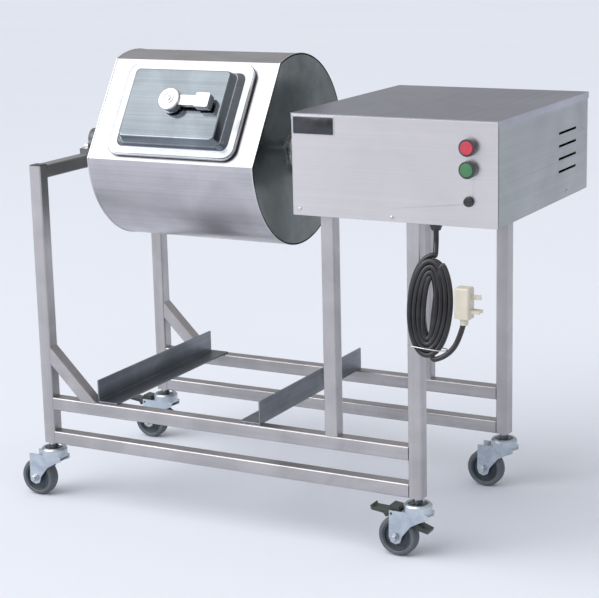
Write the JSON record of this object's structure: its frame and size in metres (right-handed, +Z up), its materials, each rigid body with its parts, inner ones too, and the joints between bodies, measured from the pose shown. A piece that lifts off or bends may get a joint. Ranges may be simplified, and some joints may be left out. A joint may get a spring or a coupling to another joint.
{
  "type": "meat vacuum tumbler",
  "caption": "Vacuum meat tumbler: a steel drum with a lidded flat side turns between a tube frame and a raised drive housing on casters.",
  "frame": {"origin": "on the floor, under the middle of the machine without its mains cord", "axes": "+X along the drum axis towards the drive housing, +Y from the operator's side to the back, +Z up"},
  "size_m": [1.0506, 0.5032, 0.8805],
  "materials": {
    "frame_tube": "brushed stainless square tube",
    "tray_angle": "mill finish stainless angle",
    "housing_sheet": "brushed stainless sheet",
    "drum_steel": "brushed stainless drum",
    "lid_steel": "pressed, bright stainless lid",
    "lever_steel": "satin stainless lever",
    "turned_steel": "turned stainless",
    "bearing": "cast bearing housing",
    "gasket": "white food-grade silicone",
    "button_ring": "dark button body and ring",
    "red_cap": "red cap",
    "green_cap": "green cap",
    "black_plastic": "black moulded plastic",
    "motor": "grey enamel",
    "zinc_plate": "zinc-plated pressed steel",
    "brake_paint": "dark enamel pedal",
    "wheel_hub": "dark moulded hub",
    "tyre": "grey rubber tread",
    "cord": "black mains cord",
    "plug": "cream moulded plug"
  },
  "bodies": {
    "machine": {"front_lower_rail": "frame_tube", "front_upper_rail": "frame_tube", "front_left_post": "frame_tube", "front_right_post": "frame_tube", "front_mid_post": "frame_tube", "front_corner_brace": "frame_tube", "back_lower_rail": "frame_tube", "back_upper_rail": "frame_tube", "back_left_post": "frame_tube", "back_right_post": "frame_tube", "back_mid_post": "frame_tube", "back_corner_brace": "frame_tube", "bearing_crossbar": "frame_tube", "tray_angles": "tray_angle", "housing_floor": "housing_sheet", "front_panel": "housing_sheet", "housing_wrap": "housing_sheet", "top_cover": "housing_sheet", "stop_button_body": "button_ring", "start_button_body": "button_ring", "fuse_holder": "black_plastic", "bearing_block": "bearing", "flange_bearing": "bearing", "gear_motor": "motor", "vacuum_pump": "motor", "cord_gland": "black_plastic", "cord_lead": "cord", "cord_coil": "cord", "cord_tail": "cord", "plug": "plug", "front_left_stem": "zinc_plate", "front_right_stem": "zinc_plate", "back_left_stem": "zinc_plate", "back_right_stem": "zinc_plate"},
    "drum": {"drum_shell": "drum_steel", "drum_ends": "drum_steel", "mouth_collar": "drum_steel", "drum_baffles": "drum_steel", "left_trunnion": "turned_steel", "drive_trunnion": "turned_steel"},
    "lid": {"lid": "lid_steel", "lid_gasket": "gasket"},
    "lever": {"lid_lever": "lever_steel", "lid_locking_bar": "turned_steel"},
    "stop_cap": {"stop_button_cap": "red_cap"},
    "start_cap": {"start_button_cap": "green_cap"},
    "front_left_swivel": {"front_left_fork": "zinc_plate"},
    "front_left_wheel": {"front_left_hub": "wheel_hub", "front_left_tyre": "tyre"},
    "front_right_swivel": {"front_right_fork": "zinc_plate"},
    "front_right_wheel": {"front_right_hub": "wheel_hub", "front_right_tyre": "tyre"},
    "front_right_pedal": {"front_right_brake": "brake_paint"},
    "back_left_swivel": {"back_left_fork": "zinc_plate"},
    "back_left_wheel": {"back_left_hub": "wheel_hub", "back_left_tyre": "tyre"},
    "back_left_pedal": {"back_left_brake": "brake_paint"},
    "back_right_swivel": {"back_right_fork": "zinc_plate"},
    "back_right_wheel": {"back_right_hub": "wheel_hub", "back_right_tyre": "tyre"}
  },
  "joints": [
    {"name": "drum_spin", "type": "hinge", "parent": "machine", "child": "drum", "pos_m": [-0.15575, 0.003, 0.698], "axis": [1, 0, 0], "continuous": true},
    {"name": "lid_lift", "type": "slide", "parent": "drum", "child": "lid", "axis": [0, -0.8387, 0.5446], "range_m": [0, 0.2]},
    {"name": "lever_turn", "type": "hinge", "parent": "lid", "child": "lever", "pos_m": [-0.15575, 0.003, 0.698], "axis": [0, 0.8387, -0.5446], "range_deg": [0, 90]},
    {"name": "stop_press", "type": "slide", "parent": "machine", "child": "stop_cap", "axis": [0, 1, 0], "range_m": [0, 0.004], "stiffness_N_per_m": 600, "springref_m": -0.003},
    {"name": "start_press", "type": "slide", "parent": "machine", "child": "start_cap", "axis": [0, 1, 0], "range_m": [0, 0.004], "stiffness_N_per_m": 600, "springref_m": -0.003},
    {"name": "front_left_swivel_turn", "type": "hinge", "parent": "machine", "child": "front_left_swivel", "pos_m": [-0.43525, -0.206, 0.088], "axis": [0, 0, 1], "continuous": true},
    {"name": "front_left_wheel_roll", "type": "hinge", "parent": "front_left_swivel", "child": "front_left_wheel", "pos_m": [-0.47325, -0.206, 0.0375], "axis": [0, 1, 0], "continuous": true},
    {"name": "front_right_swivel_turn", "type": "hinge", "parent": "machine", "child": "front_right_swivel", "pos_m": [0.36475, -0.206, 0.088], "axis": [0, 0, 1], "continuous": true},
    {"name": "front_right_wheel_roll", "type": "hinge", "parent": "front_right_swivel", "child": "front_right_wheel", "pos_m": [0.32675, -0.206, 0.0375], "axis": [0, 1, 0], "continuous": true},
    {"name": "front_right_brake_press", "type": "hinge", "parent": "front_right_swivel", "child": "front_right_pedal", "pos_m": [0.31875, -0.206, 0.082], "axis": [0, -1, 0], "range_deg": [0, 8]},
    {"name": "back_left_swivel_turn", "type": "hinge", "parent": "machine", "child": "back_left_swivel", "pos_m": [-0.43525, 0.212, 0.088], "axis": [0, 0, 1], "continuous": true},
    {"name": "back_left_wheel_roll", "type": "hinge", "parent": "back_left_swivel", "child": "back_left_wheel", "pos_m": [-0.47325, 0.212, 0.0375], "axis": [0, 1, 0], "continuous": true},
    {"name": "back_left_brake_press", "type": "hinge", "parent": "back_left_swivel", "child": "back_left_pedal", "pos_m": [-0.48125, 0.212, 0.082], "axis": [0, -1, 0], "range_deg": [0, 8]},
    {"name": "back_right_swivel_turn", "type": "hinge", "parent": "machine", "child": "back_right_swivel", "pos_m": [0.36475, 0.212, 0.088], "axis": [0, 0, 1], "continuous": true},
    {"name": "back_right_wheel_roll", "type": "hinge", "parent": "back_right_swivel", "child": "back_right_wheel", "pos_m": [0.32675, 0.212, 0.0375], "axis": [0, 1, 0], "continuous": true}
  ]
}
